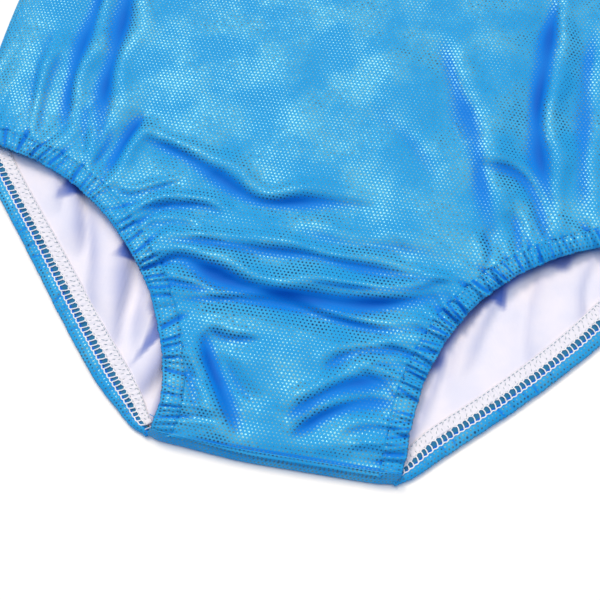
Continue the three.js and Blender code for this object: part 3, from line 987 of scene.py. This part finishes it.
def ladder(opening):
    """The overlock over the hem's raw edge: slanting rungs between two chains of loops."""
    outer, inner = LADDER_INSETS
    starts = np.arange(opening.run[0] + 3, opening.run[-1] - 4, LADDER_PITCH)
    paths = []
    for number, start in enumerate(starts):
        lean = 0.5 + 0.4 * np.sin(1.7 * number + opening.seed)
        share = np.linspace(0, 1, 8)
        arch = 0.22 * np.sin(np.pi * share) + 0.12
        bow = 0.35 * np.sin(np.pi * share)
        inset = outer + (inner - outer) * share
        paths.append(on_hem(opening, start + lean * share + bow, inset, arch))
    along = np.arange(starts[0] - 0.8, starts[-1] + 1.2, 0.4)
    swing = np.sin(2 * np.pi * (along - starts[0]) / LADDER_PITCH)
    paths.append(on_hem(opening, along, outer + 0.22 * swing, 0.12 + 0.06 * swing))
    paths.append(on_hem(opening, along, inner - 0.28 * swing, 0.18 - 0.06 * swing))
    return paths


def make_back_stitches():
    made = []
    for opening in BACK_OPENINGS:
        thread = tubes(f"{opening.name}_overlock", ladder(opening), LADDER_RADIUS)
        made.append(finish_piece(thread, WHITE_THREAD, [f"{opening.name}_stitches"]))
    return made


# ---- the white band zigzagged over the lining's edge ----

BAND_INSETS = (HEM_WIDTH, HEM_WIDTH + 5.0)
BAND_END = 3.0  # how far short of the opening's ends the band stops
NEEDLE_PITCH = 2.0
SPECK_PITCH = 1.3


def band_points(opening, along, inset, lift=0.0):
    inset = np.broadcast_to(inset, along.shape)
    ends = smoothstep((inset - HEM_WIDTH) / 4.0)
    level = (HEM_THICKNESS + CLOTH - 0.1) * (1 - ends) + (LINING_REST + 1.0) * ends
    pucker = 0.14 * np.sin(2 * np.pi * along / LADDER_PITCH)
    return back_place(opening.at(along, inset), level + pucker + lift)


def make_bands():
    made = []
    for opening in BACK_OPENINGS[:2]:
        side = opening.name.split("_")[0]
        along = np.arange(BAND_END, opening.run[-1] - BAND_END, 0.6)
        insets = np.linspace(BAND_INSETS[1], BAND_INSETS[0], 8)
        rows = [band_points(opening, along, np.full(len(along), inset)) for inset in insets]
        flats = [np.stack([np.full(len(along), inset), along], 1) for inset in insets]
        band = strip_mesh(f"{side}_leg_band_cloth", rows, flats)
        made.append(finish_piece(band, ELASTIC, [f"{side}_leg_lining_band"], 0.35))
        needle = []
        for start in np.arange(4, opening.run[-1] - 6, NEEDLE_PITCH):
            steps = start + 1.2 * np.linspace(0, 1, 4)
            needle.append(band_points(opening, steps, np.full(4, BAND_INSETS[1] - 0.6), 0.15))
        specks = []
        for number, start in enumerate(np.arange(4, opening.run[-1] - 6, SPECK_PITCH)):
            inset = 9.2 + 1.7 * (number % 2) + 0.4 * np.sin(2.1 * number)
            slant = 0.5 + 0.5 * np.sin(3.7 * number)
            share = np.linspace(0, 1, 3)
            specks.append(band_points(opening, start + slant * share, inset + 1.0 * share, 0.08))
        thread = tubes(f"{side}_leg_band_needle_line", needle + specks, 0.18)
        made.append(finish_piece(thread, GREY_THREAD, [f"{side}_leg_band_stitches"]))
    return made


# ---- elastics, seams, gusset and label ----


ELASTIC_INSETS = np.linspace(6.6, 1.0, 5)
ELASTIC_POINTS = slice(6, -6, 3)  # the points of an opening's line that its elastic follows


def make_elastics():
    """A flat band inside each hem, front and back, joined at both ends of the opening."""
    made = []
    backs = {opening.name.replace("_back", ""): opening for opening in BACK_OPENINGS}
    for front in FRONT_OPENINGS:
        name = front.name.replace("_front", "")
        sheets = []
        for opening, place in ((front, front_place), (backs[name], back_place)):
            line, inward, run, level = (values[ELASTIC_POINTS] for values in
                                        (opening.line, opening.inward, opening.run, opening.level))
            pinch = opening.pinch[ELASTIC_POINTS, None]
            rows = []
            for inset in ELASTIC_INSETS:
                ruche = 0.9 * hem_ruche(opening, run, np.full(len(run), inset))
                rows.append(place(line + inward * inset * pinch, level - 0.1 + ruche))
            sheets.append(np.stack(rows, 1))
        loop = np.vstack([sheets[0], sheets[1][::-1]])
        width = len(ELASTIC_INSETS)
        faces = grid_faces(len(loop), width).tolist()
        last = (len(loop) - 1) * width
        faces += [[last + k, k, k + 1, last + k + 1] for k in range(width - 1)]
        band = new_mesh(f"{name}_elastic_band", loop.reshape(-1, 3), faces)
        made.append(finish_piece(band, ELASTIC, [f"{name}_elastic"], 0.4))
    return made


SEAM_INSET = 2.2  # where a side or shoulder seam's strip meets the panels
SEAM_OUT = 0.2  # how far it bulges past the cut
SEAM_BOTTOM = 0.6


def rolled_seam(name, line, top, nodes):
    """A strip that rolls from the front's edge over the side to the back's."""
    line = evenly(line, 1.2)
    inward = inward_of(line)
    turn = np.linspace(0, np.pi, 10)
    rows, flats = [], []
    for angle in turn:
        points = line + inward * (SEAM_INSET - (SEAM_INSET + SEAM_OUT) * np.sin(angle))
        share = (1 + np.cos(angle)) / 2
        height = top(points) * share + SEAM_BOTTOM * (1 - share)
        rows.append(front_place(points, height) * share + back_place(points, height) * (1 - share))
        flats.append(np.stack([points[:, 1], np.full(len(points), angle * 3)], 1))
    return finish_piece(strip_mesh(name, rows, flats), FOIL, nodes, CLOTH)


def make_seams():
    def seam_top(points):
        return front_surface(points)[0] + 0.05

    made = []
    for name, flip in (("left", lambda line: line), ("right", mirrored)):
        made.append(rolled_seam(f"{name}_side_seam_cloth", flip(SIDE), seam_top, [f"{name}_side_seam"]))
        made.append(rolled_seam(f"{name}_shoulder_seam_cloth", flip(SHOULDER), seam_top,
                                [f"{name}_shoulder_seam"]))
    return made


def make_crotch():
    """The back panel's end, rolled up over the lower edge to its seam with the front."""
    xs = np.arange(-CROTCH_HALF, CROTCH_HALF + 0.4, 0.8)
    seam_y, seen = crotch_seam_line(xs)
    under_hem = smoothstep((np.abs(xs) - CROTCH_HALF + HEM_WIDTH + 1) / 2)
    crest = front_surface(np.stack([xs, seam_y], 1))[0] + 0.15 + 0.9 * under_hem
    crest -= 0.9 * smoothstep((np.abs(xs) - CROTCH_HALF + 2) / 2)
    turn = np.linspace(0, np.pi, 16)
    rows, flats, shades = [], [], []
    for angle in turn:
        upper = (1 + np.cos(angle)) / 2
        y = seam_y * upper - 1.0 * np.sin(angle) + 1.2 * (1 - upper)
        points = np.stack([xs, y], 1)
        height = 0.5 + (crest - 0.5) * upper ** 0.75
        height += 0.25 * bump((angle - 0.5) / 0.35) * seen + 0.1 * np.sin(xs / 1.9) * np.sin(angle)
        rows.append(front_place(points, height) * upper + back_place(points, height) * (1 - upper))
        flats.append(np.stack([xs, -np.full(len(xs), angle * 2.6)], 1))
        # Painted shade: a dark line along the seam, and a little over the whole strip.
        shades.append(0.8 * bump(angle / 0.2) * seen + 0.1)
    strip = strip_mesh("crotch_seam_cloth", rows, flats, shades)
    return finish_piece(strip, FOIL, ["crotch_seam"], CLOTH)


def make_gusset():
    low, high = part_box("crotch_gusset")
    xs = np.arange(low.x / MM, high.x / MM, 2.0)
    ys = np.arange(low.y / MM - FOOT, high.y / MM - FOOT, 2.0)
    grid = grid_points(xs, ys)
    width = np.interp(grid[:, 1], ys[[0, -1]], [0.62, 0.92])
    grid[:, 0] *= width
    height = back_lining_surface(grid)[0] + 0.55
    gusset = new_mesh("crotch_gusset_cloth", back_place(grid, height), grid_faces(len(ys), len(xs)), grid)
    return finish_piece(gusset, COTTON, ["crotch_gusset"], 0.4)


TACK_PITCH = 2.2
TACK_LENGTH = 1.6


def make_label():
    """A blank woven ribbon, free below its sewn edge, with a slight curl."""
    low, high = (np.array(end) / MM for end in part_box("neck_label"))
    xs = np.linspace(low[0], high[0], 24)
    ys = np.linspace(low[1], high[1], 18)
    grid = grid_points(xs, ys)
    free = (high[1] - grid[:, 1]) / (high[1] - low[1])
    curl = high[2] + 0.7 * np.sin(free * 2.4) * free + 0.12 * np.sin(grid[:, 0] / 5) * free
    label = new_mesh("neck_label_ribbon", np.column_stack([grid, curl]) * MM, grid_faces(len(ys), len(xs)))
    finish_piece(label, SATIN, ["neck_label"], 0.3, body="label")
    low, high = (np.array(end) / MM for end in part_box("neck_label_stitches"))
    paths = []
    for start in np.arange(low[0], high[0] - 1.5, TACK_PITCH):
        along = np.linspace(start, start + TACK_LENGTH, 6)
        arch = high[2] + 0.15 * np.sin(np.linspace(0, np.pi, 6))
        paths.append(np.column_stack([along, np.full(6, (low[1] + high[1]) / 2), arch]) * MM)
    tacks = tubes("neck_label_tacks", paths, 0.2)
    finish_piece(tacks, WHITE_THREAD, ["neck_label_stitches"])


# ---- the studio ----


def make_floor():
    bpy.ops.mesh.primitive_plane_add(size=40, location=(0, 0, 0))
    floor = bpy.context.object
    floor.name = "floor"
    shader = Shader("floor_paper", 0.9, Specular_IOR_Level=0.1)
    grain = shader.noise(shader.place(), 30.0)
    shader.link(shader.mix(grain, (0.93, 0.93, 0.93, 1), (0.95, 0.95, 0.95, 1)),
                shader.principled.inputs["Base Color"])
    floor.data.materials.append(shader.material)


def soft_sun(name, turn, elevation, width, strength, colour):
    """A broad, far light: turned from +Y towards -X, and up from the floor, in degrees."""
    data = bpy.data.lights.new(name, "SUN")
    data.angle = np.radians(width)
    data.energy = strength
    data.color = colour
    lamp = bpy.data.objects.new(name, data)
    turn, elevation = np.radians(turn), np.radians(elevation)
    level = np.cos(elevation)
    towards = Vector((-np.sin(turn) * level, np.cos(turn) * level, np.sin(elevation)))
    lamp.rotation_euler = towards.to_track_quat("Z", "Y").to_euler()
    bpy.context.scene.collection.objects.link(lamp)


def make_studio():
    make_floor()
    world = bpy.data.worlds.new("studio")
    world.use_nodes = True
    world.node_tree.nodes["Background"].inputs["Color"].default_value = (0.18, 0.50, 1.0, 1)
    world.node_tree.nodes["Background"].inputs["Strength"].default_value = 0.48
    bpy.context.scene.world = world
    warm = (1.0, 0.835, 0.60)
    soft_sun("softbox_overhead", 0, 78, 70, 2.2, warm)
    soft_sun("softbox_side", 36, 55, 22, 1.45, warm)
    bpy.context.scene.view_settings.view_transform = "Standard"


# Both from the middle of the crotch edge, in metres.
CAMERA_OFFSET = (0.0329, -0.1288, 0.4350)
TARGET_OFFSET = (-0.0013, 0.0712, 0)


def make_camera():
    data = bpy.data.cameras.new("camera")
    data.lens = 72
    data.sensor_width = 36
    camera = bpy.data.objects.new("camera", data)
    crotch = Vector((0, FOOT * MM, 0))
    camera.location = crotch + Vector(CAMERA_OFFSET)
    target = crotch + Vector(TARGET_OFFSET)
    camera.rotation_euler = (target - camera.location).to_track_quat("-Z", "Y").to_euler()
    bpy.context.scene.collection.objects.link(camera)
    bpy.context.scene.camera = camera


def on_panel(pieces, panel):
    return [piece for piece in pieces if panel in piece.name]


def declare_sheets(hems, stitches, seams):
    """Lists the back's hems, stitches and seams, and the front's hems and stitches; neither list is kept.
    """
    on_panel(hems, "_back_") + on_panel(stitches, "_back_") + seams
    on_panel(hems, "_front_") + on_panel(stitches, "_front_")


make_camera()
make_studio()
front = make_front()
back = make_back()
hems = make_hems()
seams = make_seams() + [make_crotch()]
stitches = make_front_stitches() + make_back_stitches()
bands = make_bands()
elastics = make_elastics()
gusset = make_gusset()
make_label()
declare_sheets(hems, stitches, seams)
